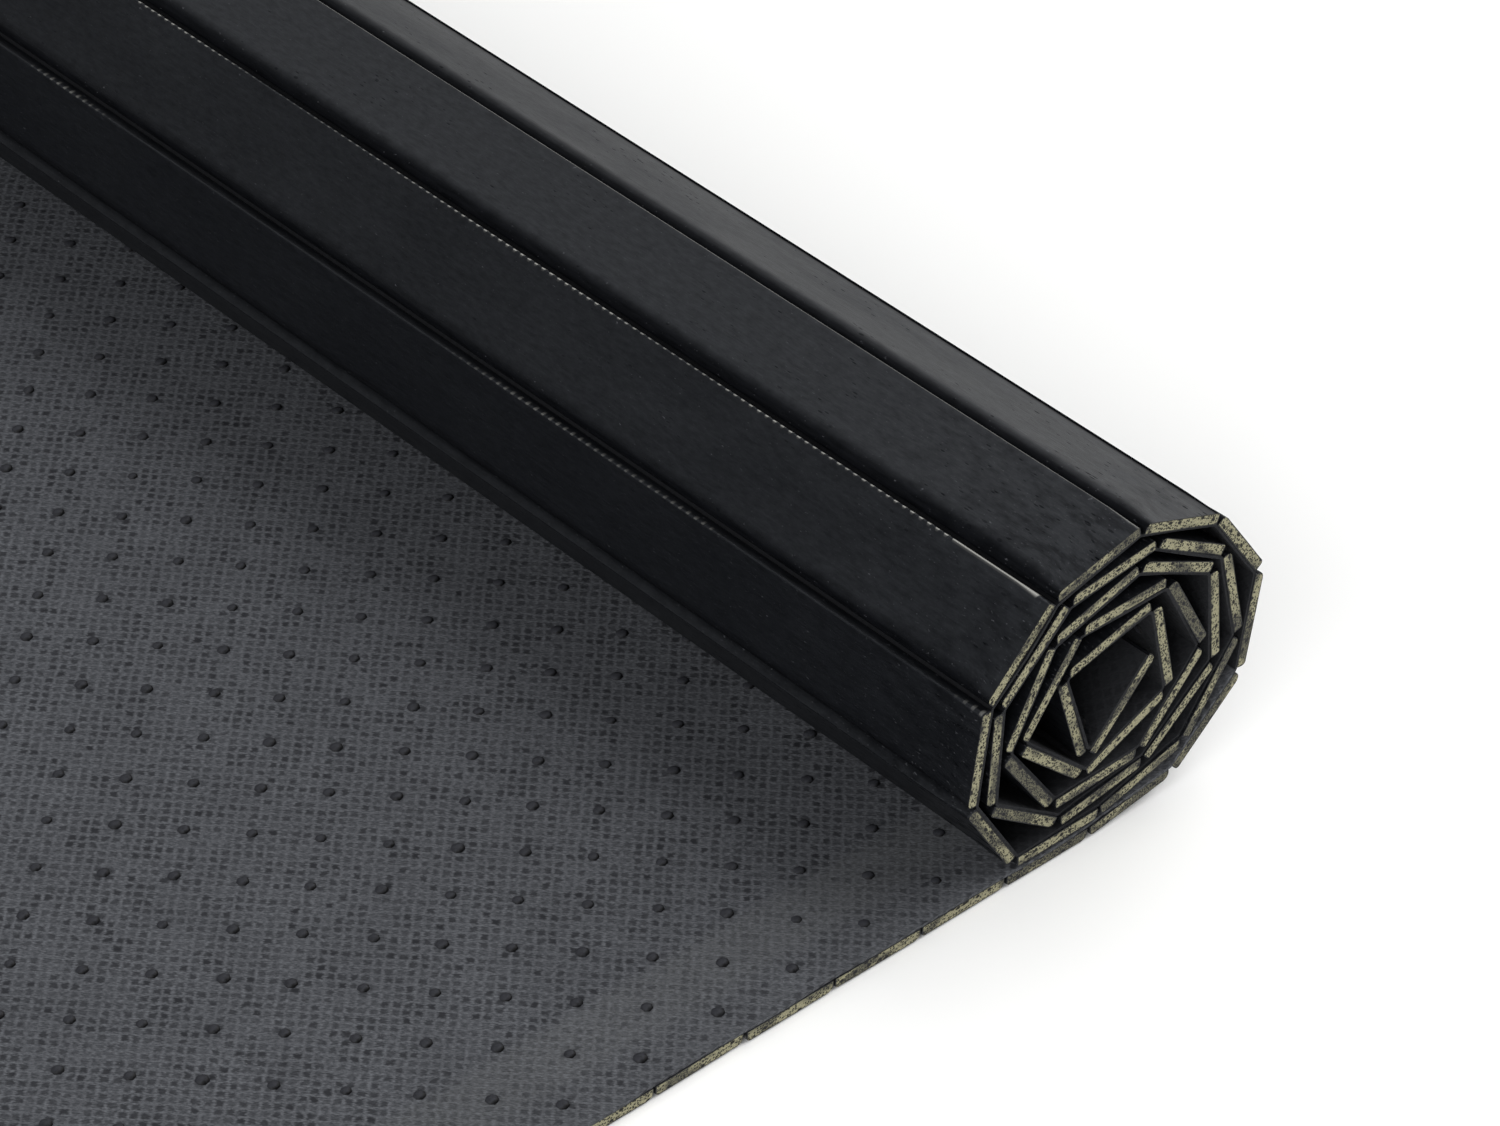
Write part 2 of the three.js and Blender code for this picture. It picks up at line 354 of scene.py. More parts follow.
def makeSawnBamboo():
    material, tree, shader = newMaterial("sawnBambooEnd", {
        "Roughness": 0.82, "IOR": 1.45, "Specular IOR Level": 0.3})
    uv = addNode(tree, "UVMap", uv_map="surface")
    fields = {}
    for key, detail, rough in (("fibre", 2, 0.6), ("crowd", 1, 0.5), ("fleck", 3, 0.7),
                               ("stain", 2, 0.5)):
        place = addNode(tree, "Mapping", {"Vector": uv, "Scale": perMetre(sawnBamboo[key])})
        fields[key] = addNode(tree, "TexNoise", {
            "Vector": place, "Scale": 1, "Detail": detail, "Roughness": rough})
    fibre = fields["fibre"]

    # bundles and vessels: each is the middle of a cell, and the cell's tint picks which ones show
    far, tint = {}, {}
    for key in ("bundle", "hole"):
        place = addNode(tree, "Mapping", {"Vector": uv, "Scale": perMetre(sawnBamboo[key])})
        far[key] = addNode(tree, "TexVoronoi", {"Vector": place, "Scale": 1}, "Distance",
                           voronoi_dimensions="2D")
        tint[key] = addNode(tree, "SeparateColor", {0: far[key].node.outputs["Color"]})
    crowd = addNode(tree, "MapRange", {
        "Value": fields["crowd"], "From Min": 0.38, "From Max": 0.66,
        "To Min": 0.35, "To Max": 0.95})
    picked = addNode(tree, "Math", {0: tint["bundle"], 1: crowd}, operation="LESS_THAN")
    core = addNode(tree, "MapRange", {
        "Value": far["bundle"], "From Min": 0.24, "From Max": 0.5, "To Min": 1, "To Max": 0})
    bundle = addNode(tree, "Math", {0: picked, 1: core}, operation="MULTIPLY")
    fleck = addNode(tree, "MapRange", {
        "Value": fields["fleck"], "From Min": 0.55, "From Max": 0.63, "To Max": 0.75})
    bundle = addNode(tree, "Math", {0: bundle, 1: fleck}, operation="MAXIMUM")
    picked = addNode(tree, "Math", {
        0: tint["hole"], 1: sawnBamboo["holeShare"]}, operation="LESS_THAN")
    ragged = addNode(tree, "Math", {0: fibre, 1: 0.16, 2: far["hole"]}, operation="MULTIPLY_ADD")
    core = addNode(tree, "MapRange", {
        "Value": ragged, "From Min": 0.22, "From Max": 0.32, "To Min": 1, "To Max": 0})
    hole = addNode(tree, "Math", {0: picked, 1: core}, operation="MULTIPLY")
    bundle = addNode(tree, "Math", {0: bundle, 1: hole}, operation="MAXIMUM")

    endStain = addNode(tree, "Attribute", output="Fac", attribute_name="endStain")
    stained = addNode(tree, "Math", {
        0: endStain, 1: sawnBamboo["stainByEnd"], 2: fields["stain"]}, operation="MULTIPLY_ADD")
    stained = addNode(tree, "MapRange", {"Value": stained, "From Min": 0.525, "From Max": 0.62})
    stainGrain = addNode(tree, "MapRange", {
        "Value": fibre, "From Min": 0.34, "From Max": 0.56, "To Max": 0.95})
    stain = addNode(tree, "Math", {0: stained, 1: stainGrain}, operation="MULTIPLY")

    # the rim: near the faces and the long edges, where the section's own coordinates come near 1;
    # a vector MapRange takes From Min and Max at 7 and 8, and To Min and Max at 9 and 10
    section = addNode(tree, "UVMap", uv_map="section")
    apart = addNode(tree, "VectorMath", {0: section}, operation="ABSOLUTE")
    across = addNode(tree, "MapRange", {
        "Vector": apart, 7: (0.965, 0.72, 0), 8: (0.985, 0.9, 1), 9: (0, 0, 0), 10: (1, 1, 1)},
        "Vector", data_type="FLOAT_VECTOR")
    rimAcross = addNode(tree, "SeparateXYZ", {0: across}, "X")
    rimThrough = rimAcross.node.outputs["Y"]
    rim = addNode(tree, "Math", {0: rimAcross, 1: rimThrough}, operation="MAXIMUM")
    rim = addNode(tree, "Math", {0: fibre, 1: 0.9, 2: rim}, operation="MULTIPLY_ADD")
    rim = addNode(tree, "MapRange", {
        "Value": rim, "From Min": 0.85, "From Max": 1.2, "To Max": 0.9})

    straw = addNode(tree, "MapRange", {"Value": fibre, "From Min": 0.32, "From Max": 0.66})
    colour = linear(sawnBamboo["colour"])
    for share, name in ((straw, "lightColour"), (bundle, "bundleColour"),
                        (stain, "stainColour"), (rim, "stainColour")):
        layer = {0: share, 6: colour, 7: linear(sawnBamboo[name])}
        colour = addNode(tree, "Mix", layer, 2, data_type="RGBA")
    tree.links.new(colour, shader.inputs["Base Color"])
    height = addNode(tree, "Math", {0: bundle, 1: -0.7, 2: fibre}, operation="MULTIPLY_ADD")
    bump = addNode(tree, "Bump", {
        "Height": height, "Strength": 0.6, "Distance": sawnBamboo["relief"] * mm})
    tree.links.new(bump, shader.inputs["Normal"])
    return material


# Embossed nonwoven, spun and point-bonded: a matt charcoal sheet with a square grid of small dark
# pits turned 45 degrees to the slats, uneven in depth, and a pressed strip near its cut edges
# where they show less. Its fibres are drawn ten times too coarse, or they would only be haze.

nonwoven = {
    "colour": "#404246",
    "ridgeColour": "#6b6d72",
    "pitColour": "#232428",
    "bandColour": "#50514f",
    "rollShadeColour": "#141518",   # painted shade: much darker where it is rolled up, for the shade inside the roll
    "rolledFrom": 22,            # slats from the flat end
    "lintColour": "#96979a",
    # dark glue, made near black partly as painted shade for the gaps between the slats
    "glueAndShadeColour": "#0b0b0d",
    "glueAndShadeFibreColour": "#1b1c1f",
    "gridTurn": 45,            # degrees from the slats
    "pitPitch": (2.1, 1.99),   # mm, from pit to pit
    "fibre": (0.34, 0.95),
    "glueFibre": (10 / 9, 10 / 9),
    "drift": (3.0, 3.0),       # how far apart the grid's small shifts lie
    "patch": (7.0, 7.0),
    "cloud": (18.0, 18.0),
    "lint": (0.8, 0.8),
    "band": (10.0, 23.0),      # the pressed strip, from the slats' ends
    "pressedOutside": 0.3,     # how far it is pressed between that strip and its cut edge
    "liesOn": 38,              # slats it lies on: the flat ones and two outer laps
    "inset": 0.25,             # from the slats' ends
    "wander": 0.22,            # how far its cut edges stray from straight
    "relief": 0.12,
    "glueRelief": 0.1,
}


def makeNonwoven():
    material, tree, shader = newMaterial("embossedNonwoven", {
        "Roughness": 0.88, "IOR": 1.45, "Specular IOR Level": 0.25})
    uv = addNode(tree, "UVMap", uv_map="surface")
    turn = (0, 0, math.radians(nonwoven["gridTurn"]))
    turned = addNode(tree, "Mapping", {"Vector": uv, "Rotation": turn})
    fields = {}
    for key, detail, rough, output in (
            ("drift", 1, 0.5, "Color"), ("fibre", 3, 0.65, "Fac"), ("patch", 2, 0.5, "Fac"),
            ("cloud", 2, 0.5, "Fac"), ("lint", 2, 0.7, "Fac")):
        place = addNode(tree, "Mapping", {"Vector": turned, "Scale": perMetre(nonwoven[key])})
        fields[key] = addNode(tree, "TexNoise", {
            "Vector": place, "Scale": 1, "Detail": detail, "Roughness": rough}, output)
    fibre = fields["fibre"]

    # the grid: a pit fills the middle of each cell, max(|x|, |y|) measured from the cell's middle
    even = addNode(tree, "Mapping", {"Vector": turned, "Scale": perMetre(nonwoven["pitPitch"])})
    grid = addNode(tree, "VectorMath", {
        0: fields["drift"], 1: (0.5, 0.5, 0), 2: even}, operation="MULTIPLY_ADD")
    number = addNode(tree, "VectorMath", {0: grid}, operation="FLOOR")
    luck = addNode(tree, "TexWhiteNoise", {"Vector": number})
    cell = addNode(tree, "VectorMath", {0: grid}, operation="FRACTION")
    cell = addNode(tree, "VectorMath", {0: cell, 1: (0.5, 0.5, 0)}, operation="SUBTRACT")
    cell = addNode(tree, "VectorMath", {0: cell}, operation="ABSOLUTE")
    farX = addNode(tree, "SeparateXYZ", {0: cell}, "X")
    farY = farX.node.outputs["Y"]
    far = addNode(tree, "Math", {0: farX, 1: farY, 2: 0.2}, operation="SMOOTH_MAX")
    ragged = addNode(tree, "Math", {0: fibre, 1: 0.5, 2: far}, operation="MULTIPLY_ADD")
    pit = addNode(tree, "MapRange", {
        "Value": ragged, "From Min": 0.42, "From Max": 0.72, "To Min": 1, "To Max": 0},
        interpolation_type="SMOOTHSTEP")
    uneven = addNode(tree, "MapRange", {"Value": luck, "To Min": 0.4, "To Max": 1.1})
    edgeBand = addNode(tree, "Attribute", output="Fac", attribute_name="edgeBand")
    pressed = addNode(tree, "MapRange", {"Value": edgeBand, "To Min": 1, "To Max": 0.58})
    patchy = addNode(tree, "MapRange", {
        "Value": fields["patch"], "From Min": 0.35, "From Max": 0.6, "To Min": 0.8, "To Max": 1.15})
    for share in (uneven, patchy, pressed):
        pit = addNode(tree, "Math", {0: pit, 1: share}, operation="MULTIPLY")

    cloud = addNode(tree, "MapRange", {
        "Value": fields["cloud"], "From Min": 0.3, "From Max": 0.7, "To Max": 0.16})
    lint = addNode(tree, "MapRange", {
        "Value": fields["lint"], "From Min": 0.72, "From Max": 0.80, "To Max": 0.4})
    ridge = addNode(tree, "MapRange", {"Value": fibre, "From Min": 0.36, "From Max": 0.74})
    band = addNode(tree, "Math", {0: edgeBand, 1: 0.35}, operation="MULTIPLY", use_clamp=True)
    pitShow = addNode(tree, "Math", {0: pit, 1: 0.8}, operation="MULTIPLY")
    # painted shade: the sheet inside the roll is coloured almost black, standing in for the shade in
    # the roll's core
    rolled = addNode(tree, "Attribute", output="Fac", attribute_name="rolled")
    paintedRollShade = addNode(tree, "Math", {0: rolled, 1: 0.9}, operation="MULTIPLY")
    colour = linear(nonwoven["colour"])
    for share, name in ((band, "bandColour"), (ridge, "ridgeColour"), (pitShow, "pitColour"),
                        (cloud, "pitColour"), (lint, "lintColour"), (paintedRollShade, "rollShadeColour")):
        layer = {0: share, 6: colour, 7: linear(nonwoven[name])}
        colour = addNode(tree, "Mix", layer, 2, data_type="RGBA")
    tree.links.new(colour, shader.inputs["Base Color"])

    height = addNode(tree, "Math", {0: pit, 1: -1.6, 2: fibre}, operation="MULTIPLY_ADD")
    bump = addNode(tree, "Bump", {
        "Height": height, "Strength": 0.6, "Distance": nonwoven["relief"] * mm})
    tree.links.new(bump, shader.inputs["Normal"])
    return material


def makeGlueSide():
    # The nonwoven's other side, soaked with dark glue, and made near black and dull partly as painted
    # shade, so that the gaps between the slats stay dark
    material, tree, shader = newMaterial("glueSoakedShadedNonwoven", {
        "Roughness": 0.8, "Specular IOR Level": 0.1})
    uv = addNode(tree, "UVMap", uv_map="surface")
    place = addNode(tree, "Mapping", {"Vector": uv, "Scale": perMetre(nonwoven["glueFibre"])})
    fibre = addNode(tree, "TexNoise", {"Vector": place, "Scale": 1, "Detail": 3})
    layer = {0: fibre, 6: linear(nonwoven["glueAndShadeColour"]), 7: linear(nonwoven["glueAndShadeFibreColour"])}
    colour = addNode(tree, "Mix", layer, 2, data_type="RGBA")
    tree.links.new(colour, shader.inputs["Base Color"])
    bump = addNode(tree, "Bump", {
        "Height": fibre, "Strength": 0.6, "Distance": nonwoven["glueRelief"] * mm})
    tree.links.new(bump, shader.inputs["Normal"])
    return material


# Soft PVC, printed on in drops: small dark domes, dull, and steeper on one side where they slumped,
# with painted shade in their colour on that steep side

gripDots = {
    "colour": "#303136",
    # the colour of the painted shade on each dot's steep side
    "paintedShadeColour": "#030304",
    "first": (95.0, -168.1),     # one dot's place in the part's frame, mm
    "acrossStep": (18.055, 0.142),
    "alongStep": (0.92, 17.887),   # with one more dot in the middle of each cell
    "offLattice": 0.12,
    "diameter": 2.5,
    "height": 0.7,
    "pressedHeight": 0.42,         # where the laps lie on one another
    "freeSlats": 17,               # slats from the flat end with nothing on top of them
    "slump": (0.25, -0.35),        # how far the top leans, as a share of the radius
    "sides": 7,
    "fromEdge": 4.0,
    "smoothBelow": 70,             # degrees between two faces that still look like one
    "skin": 1 / 1.4,               # size of the unevenness of its skin
    "relief": 0.1,
}


def makeGripPvc():
    material, tree, shader = newMaterial("printedGripPvc", {
        "Roughness": 0.62, "IOR": 1.5, "Specular IOR Level": 0.22})
    # painted shade: the steep side of each dome is coloured near black, mottled a little at random
    paintedShade = addNode(tree, "Attribute", output="Fac", attribute_name="paintedShade")
    place = addNode(tree, "TexCoord", output="Object")
    rough = addNode(tree, "TexNoise", {
        "Vector": place, "Scale": 1 / (gripDots["skin"] * mm), "Detail": 2})
    uneven = addNode(tree, "MapRange", {
        "Value": rough, "From Min": 0.3, "From Max": 0.7, "To Min": -0.3, "To Max": 0.3})
    dark = addNode(tree, "Math", {0: paintedShade, 1: uneven}, operation="ADD", use_clamp=True)
    layer = {0: dark, 6: linear(gripDots["colour"]), 7: linear(gripDots["paintedShadeColour"])}
    colour = addNode(tree, "Mix", layer, 2, data_type="RGBA")
    tree.links.new(colour, shader.inputs["Base Color"])
    bump = addNode(tree, "Bump", {
        "Height": rough, "Strength": 0.5, "Distance": gripDots["relief"] * mm})
    tree.links.new(bump, shader.inputs["Normal"])
    return material


# Slats

slat = {
    "wider": (0.6, 0.3),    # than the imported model's slat at its first and last long edge, mm
    "sharpEdge": 0.28,      # radius of the first long edge, nearer the flat end
    "sharpEdgeAtEnds": 0.85,
    "roundOver": (3.2, 1.95),      # the last long edge is rounded over this wide and this deep
    "roundOverAtEnds": (1.6, 1.3),
    "roundOverFades": 9.0,  # the change from one to the other takes this long
    "glueEdge": 0.25,
    "edgePoints": (0.26, 0.32),    # where the two sides of the section meet, above the glued face
    "crown": 0.05,          # rise of the lacquered face at its middle
    "wobble": 0.012,        # how far the planed face strays from that
    "unevenEnds": 0.35,
    "sawSkew": 0.006,       # how far out of square the ends are, as a slope
    "sawReach": 3.0,        # the unevenness of an end dies away over this length
    "endReach": 38.0,       # and its dust and smudges over this one
    "endAmount": (0.5, 1.2),
    "wearSize": (0.24, 0.3),       # how wide and how deep an edge wears through
    "wearStretches": 26,    # random amounts of wear along a slat
    "commonWear": 0.5,      # most wear on a slat that isn't named here
    # painted highlight: these slats' pale edge lines are partly glints of light painted in as wear
    "wear": {               # slat: (most wear, least share of it along the slat, beaded)
        "wound_slat_06": (0.42, 0.75, 0),
        "wound_slat_07": (0.74, 0.15, 1),
        "wound_slat_08": (0.34, -1.3, 1),
        "wound_slat_09": (0.1, -1.0, 1),
    },
    "rubbedStrip": {"slat": "wound_slat_07", "from": 3.0, "to": 24.0, "wear": 0.7},
    "dullEdges": ["wound_slat_03", "wound_slat_04", "wound_slat_05"],
    "dullWidth": 1.5,
    "dullRoundOver": (0, 0.5, 0.86, 0.86, 0.8),   # from the face down, where only overspray fell
    "endStain": 2.2,        # power of the chance that a sawn end is stained: more leaves fewer
}


def slatSection(wobble, edgeRadius, roundWidth, roundDepth):
    # lower side: along the glued face, with a quarter circle at each end; upper side: the lacquered
    # face, a parabola, with a quarter circle at the first long edge and a quarter ellipse at the
    # last; both have 19 points, in mm until the end
    glue, face = glueLevel / mm, faceLevel / mm
    half = slatWidth / 2 / mm
    first, last = -half - slat["wider"][0], half + slat["wider"][1]
    below, above = (glue + up for up in slat["edgePoints"])
    quarter = np.linspace(0, math.pi / 2, 5)
    bow, rise = 1 - np.cos(quarter), 1 - np.sin(quarter)
    under = np.linspace(first + 1.5, last - 1.5, 7)
    lower = np.vstack([
        [[first, below]],
        np.stack([first + slat["glueEdge"] * bow, glue + slat["glueEdge"] * rise], 1),
        np.stack([under, np.full(7, glue)], 1),
        np.stack([last - slat["glueEdge"] * bow, glue + slat["glueEdge"] * rise], 1)[::-1],
        [[last, below]]])
    over = np.concatenate([[first + 1.2], np.linspace(first + 2.2, last - roundWidth - 0.9, 6)])
    upper = np.vstack([
        [[first, above]],
        np.stack([first + edgeRadius * bow, face - edgeRadius * rise], 1),
        np.stack([over, face - slat["crown"] * (over / half) ** 2 + wobble], 1),
        np.stack([last - roundWidth * rise, face - roundDepth * bow], 1),
        [[last, above]]])
    return np.vstack([lower, upper[::-1]]) * mm


def makeSlat(k, materials):
    # The section is carried along the slat. It goes from the end's section to the plain one by
    # t^2 (3 - 2 t), where t is 0 at an end and 1 where the change is over. A sawn end is moved by
    # (shift + skew x place across the width) x e^(-distance / reach).
    name = slatNames[k]
    # stations in mm: close near the ends, with a pair where the rubbed strip starts and stops
    near = np.array([0, 0.12, 0.5, 1.6, 2.8, 3.2, 4.5, 6, 8, 11, 15, 19, 23.8, 24.2, 30, 37, 45])
    middle = np.linspace(54, slatLength - 54, 56)
    stations = np.concatenate([near, middle, slatLength - near[::-1]])
    wobble = chance.normal(0, slat["wobble"], 7)
    ring = slatSection(wobble, slat["sharpEdge"], *slat["roundOver"])
    endRing = slatSection(wobble, slat["sharpEdgeAtEnds"], *slat["roundOverAtEnds"])
    n, size = len(stations), len(ring)
    # each end is sawn a little out of square and out of line with its neighbours
    nearShift, farShift = chance.uniform(0, slat["unevenEnds"], 2) * mm
    nearSkew, farSkew = chance.normal(0, slat["sawSkew"], 2)
    fromNear, fromFar = stations[:, None], stations[::-1, None]
    offset = ring[:, 0] + slatWidth / 2
    pull = np.exp(-fromNear / slat["sawReach"]) * (nearShift + nearSkew * offset)
    push = np.exp(-fromFar / slat["sawReach"]) * (farShift + farSkew * offset)
    y = fromNear * mm - halfLength + np.abs(pull) - np.abs(push)
    # the saw leaves the outermost 0.1 mm of the ends slightly rounded
    ease = 1 - 0.004 * (np.exp(-fromNear / 0.1) + np.exp(-fromFar / 0.1))
    fromEnds = np.minimum(stations, stations[::-1])
    t = (fromEnds / slat["roundOverFades"]).clip(0, 1)[:, None]
    blend = t * t * (3 - 2 * t)
    across = (endRing[:, 0] + (ring[:, 0] - endRing[:, 0]) * blend) * ease
    level = endRing[:, 1] + (ring[:, 1] - endRing[:, 1]) * blend
    x, z = (foldMiddles[k, i] + across * slatAlong[k, i] + level * slatOutward[k, i] for i in (0, 1))

    endNear = np.exp(-fromEnds / slat["endReach"]) * chance.uniform(*slat["endAmount"])
    fromEdge = ring[:, 0] - ring[:, 0].min()
    wide, deep = (side * mm for side in slat["wearSize"])
    edge = np.exp(-(fromEdge / wide) ** 2) * (ring[:, 1] > faceLevel - deep)
    # the ring runs out along the glued face and back along the lacquered one, so the rounded edge
    # comes straight after the first point of its upper half
    half = size // 2
    dull = (fromEdge < slat["dullWidth"] * mm) * (np.arange(size) >= half) * 1.0
    dull *= name in slat["dullEdges"]
    dull[half] = 1
    dull[half + 1:half + 6] = slat["dullRoundOver"][::-1]
    # wear comes and goes along the slat; most slats have little
    luck = chance.random() ** 3
    most, least, beaded = slat["wear"].get(name, (slat["commonWear"] * luck, -0.3, 1))
    amounts = chance.uniform(least, 1.15, slat["wearStretches"])
    rub = np.interp(stations, np.linspace(0, slatLength, len(amounts)), amounts).clip(0, 1) * most
    strip = slat["rubbedStrip"]
    if name == strip["slat"]:
        rub = np.where(stations < strip["to"], strip["wear"] * (stations > strip["from"]), rub)
        beaded = stations > strip["to"]
    values = {
        "endNear": np.repeat(endNear, size),
        "edge": np.tile(edge, n),
        "rub": np.repeat(rub, size),
        "beaded": np.repeat(beaded * np.ones(n), size),
        "dull": np.tile(dull, n),
        "endStain": np.full(n * size, chance.random() ** slat["endStain"]),
    }
    shift = np.array([0.137, 0.071]) * k    # each slat has its own part of the pattern
    rings = np.stack([x, y, z], -1)
    piece = closedBoard(f"board_{name}", rings, endRing, shift, values, np.zeros(size))
    return finishPiece(piece, materials, [name])


# Backing and its dots

def backingLine():
    # The middle line of the sheet: straight over each slat, with an arc of the bend radius at each
    # fold that turns. Returns points, outward directions and the distance along the sheet.
    radius = sandwich["foldRadius"] * mm
    before, after = slatAlong[:-1], slatAlong[1:]
    cross = before[:, 0] * after[:, 1] - before[:, 1] * after[:, 0]
    turn = np.arctan2(cross, (before * after).sum(1))
    startAngle = np.arctan2(slatOutward[:-1, 1], slatOutward[:-1, 0])
    share = np.linspace(0, 1, 5)
    angle = startAngle[:, None] + turn[:, None] * share
    direction = np.stack([np.cos(angle), np.sin(angle)], -1)
    halfway = slatOutward[:-1] + slatOutward[1:]
    halfway /= np.linalg.norm(halfway, axis=1)[:, None]
    centre = foldEnds[:-1] - halfway * (radius / np.cos(turn / 2))[:, None]
    bends = centre[:, None] + direction * radius
    foldAt = (np.arange(1, len(slatNames)) * pitch)[:, None]
    bendAt = foldAt + (share - 0.5) * radius * turn[:, None]
    keep = (np.abs(turn) > 0.01)[:, None] | (share == 0)    # one point where the fold is flat
    inset = sandwich["slatGap"] / 2 * mm + nonwoven["inset"] * mm
    inner = np.linspace(0.2, 0.8, 3)
    onSlats = foldStarts[:, None] + slatAlong[:, None] * pitch * inner[:, None]
    slatAt = (np.arange(len(slatNames))[:, None] + inner) * pitch
    slatDirection = np.broadcast_to(slatOutward[:, None], onSlats.shape)
    ends = np.stack([foldStarts[0] + slatAlong[0] * inset, foldEnds[-1] - slatAlong[-1] * inset])
    endAt = np.array([inset, len(slatNames) * pitch - inset])
    points = np.vstack([bends[keep], onSlats.reshape(-1, 2), ends])
    directions = np.vstack([direction[keep], slatDirection.reshape(-1, 2), slatOutward[[0, -1]]])
    at = np.concatenate([bendAt[keep], slatAt.ravel(), endAt])
    order = np.argsort(at)
    return points[order], directions[order], at[order]


def makeBacking(materials):
    # The middle line moved out and in by half the thickness gives the section's two sides, and the
    # section is carried along the slats. The cut edges move by wander x e^(-distance / 2 mm).
    points, directions, at = backingLine()
    half = sandwich["backing"] / 2 * mm
    ring = np.vstack([points + directions * half, (points - directions * half)[::-1]])
    flatRing = np.vstack([np.stack([at, np.zeros(len(at))], 1),
                          np.stack([at, np.full(len(at), 2 * half)], 1)[::-1]])
    inset = nonwoven["inset"]
    bandFrom, bandTo = nonwoven["band"]
    # stations in mm: close on both sides of where the pressed strip starts and stops
    near = np.array([inset, 3, bandFrom - 2, bandFrom + 2, 16, bandTo - 1.5, bandTo + 1.5, 32])
    middle = np.linspace(45, slatLength - 45, 24)
    stations = np.concatenate([near, middle, (slatLength - near)[::-1]])
    fromNear, fromFar = stations - inset, slatLength - inset - stations
    n, size = len(stations), len(ring)
    stray = chance.normal(0, nonwoven["wander"], 90)
    wander = np.interp(flatRing[:, 0], np.linspace(0, at[-1], len(stray)), stray) * mm
    y = stations[:, None] * mm - halfLength
    y = y + (np.exp(-fromNear / 2) - np.exp(-fromFar / 2))[:, None] * wander
    x, z = (np.broadcast_to(ring[:, i], (n, size)) for i in (0, 1))
    fromEnds = np.minimum(stations, slatLength - stations)
    # where the painted shade of the roll's inside goes
    rolled = np.tile(flatRing[:, 0] > nonwoven["rolledFrom"] * pitch, n)
    # 1 on the pressed strip, and a part of that from there to the cut edge
    inBand = np.where(fromEnds < bandFrom, nonwoven["pressedOutside"], (fromEnds < bandTo) * 1.0)
    values = {"edgeBand": np.repeat(inBand, size), "rolled": rolled.astype(float)}
    glueSide = np.where(np.arange(size) < size // 2, 1, 0)
    rings = np.stack([x, y, z], -1)
    piece = closedBoard("nonwovenSheet", rings, flatRing, np.zeros(2), values, glueSide, 0)
    return finishPiece(piece, materials, ["backing"])


def makeDots(materials):
    # a dome on a ring of a few sides: rings at shares of the radius and of the height, each moved
    # towards the side the drop slumped to, and closed below
    sides, radius = gripDots["sides"], gripDots["diameter"] / 2 * mm
    turn = np.arange(sides) / sides * 2 * math.pi
    circle = np.stack([np.cos(turn), np.sin(turn)], 1)
    slump = np.array(gripDots["slump"])
    levels = [(1.0, 0.0, -0.12), (0.86, 0.3, 0.5), (0.5, 0.8, 0.92)]    # radius, lean and height
    shape = [np.column_stack([(circle * share + slump * lean) * radius, np.full(sides, up * mm)])
             for share, lean, up in levels]
    shape = np.vstack([*shape, [[*(slump * radius), mm]]])
    # painted shade: each dot's colour is darkest low on the side it slumped to, where its steep side
    # would lie in shade, and fades towards the top
    downhill = circle @ (slump / np.linalg.norm(slump))
    paintedShade = np.concatenate([downhill + 0.9, downhill * 1.2 + 0.5, downhill + 0.1, [0.1]]).clip(0, 1)
    i = np.arange(sides)
    j = (i + 1) % sides
    side = np.stack([i, j, j + sides, i + sides], 1)
    quads = np.vstack([side, side + sides])
    tip = np.stack([i + 2 * sides, j + 2 * sides, np.full(sides, 3 * sides)], 1)

    # the lattice in the sheet's own plane: s along it from its left end, y along the slats; it is
    # laid out wider than the sheet, and what falls outside is dropped
    total = len(slatNames) * pitch
    numbers = np.meshgrid(np.arange(-30, 80), np.arange(-40, 60), indexing="ij")
    numbers = np.stack(numbers, -1).reshape(-1, 2)
    numbers = np.vstack([numbers, numbers + 0.5])
    steps = np.array([gripDots["acrossStep"], gripDots["alongStep"]])
    stray = chance.normal(0, gripDots["offLattice"], numbers.shape)
    places = (np.array(gripDots["first"]) + numbers @ steps + stray) * mm
    s, y = places[:, 0] - foldStarts[0, 0], places[:, 1]
    margin = gripDots["fromEdge"] * mm
    inside = (s > margin) & (s < total - margin) & (np.abs(y) < halfLength - margin)
    s, y = s[inside], y[inside]
    k = (s / pitch).astype(int)
    foot = foldStarts[k] + slatAlong[k] * (s - k * pitch)[:, None]
    foot = foot - slatOutward[k] * sandwich["backing"] / 2 * mm
    free = k < gripDots["freeSlats"]
    height = np.where(free, gripDots["height"], gripDots["pressedHeight"])
    size = chance.normal(1, 0.06, (len(s), 1, 1)).clip(0.8, 1.2)
    local = shape * size * np.stack([np.ones(len(s)), np.ones(len(s)), height], 1)[:, None]
    along, inward = slatAlong[k][:, None], -slatOutward[k][:, None]
    x, z = (foot[:, None, i] + local[..., 0] * along[..., i] + local[..., 2] * inward[..., i]
            for i in (0, 1))
    points = np.stack([x, y[:, None] + local[..., 1], z], -1).reshape(-1, 3)
    base = (np.arange(len(s)) * len(shape))[:, None, None]
    faces = [*(base + quads).reshape(-1, 4).tolist(), *(base + tip).reshape(-1, 3).tolist(),
             *(base + i[::-1]).reshape(-1, sides).tolist()]
    mesh = bpy.data.meshes.new("gripDotField")
    mesh.from_pydata(points.tolist(), [], faces)
    attribute = mesh.attributes.new("paintedShade", "FLOAT", "POINT")
    attribute.data.foreach_set("value", np.tile(paintedShade, len(s)).astype(np.float32))
    mesh.polygons.foreach_set("use_smooth", np.ones(len(faces), bool))
    mesh.set_sharp_from_angle(angle=math.radians(gripDots["smoothBelow"]))
    piece = bpy.data.objects.new("gripDotField", mesh)
    bpy.context.scene.collection.objects.link(piece)
    print("grip dots:", len(s))
    return finishPiece(piece, materials, [])


# The camera stands where the photograph was taken from

camera = {
    "place": (-0.3998, -0.7994, 0.6456),
    "azimuth": -45.11,
    "elevation": 37.24,
    "roll": 3.27,
    "focalPixels": 5514.5,
    "imageWidth": 1500,
    "sensor": 36.0,
    "sees": (0.05, 60),    # from and to, metres
}


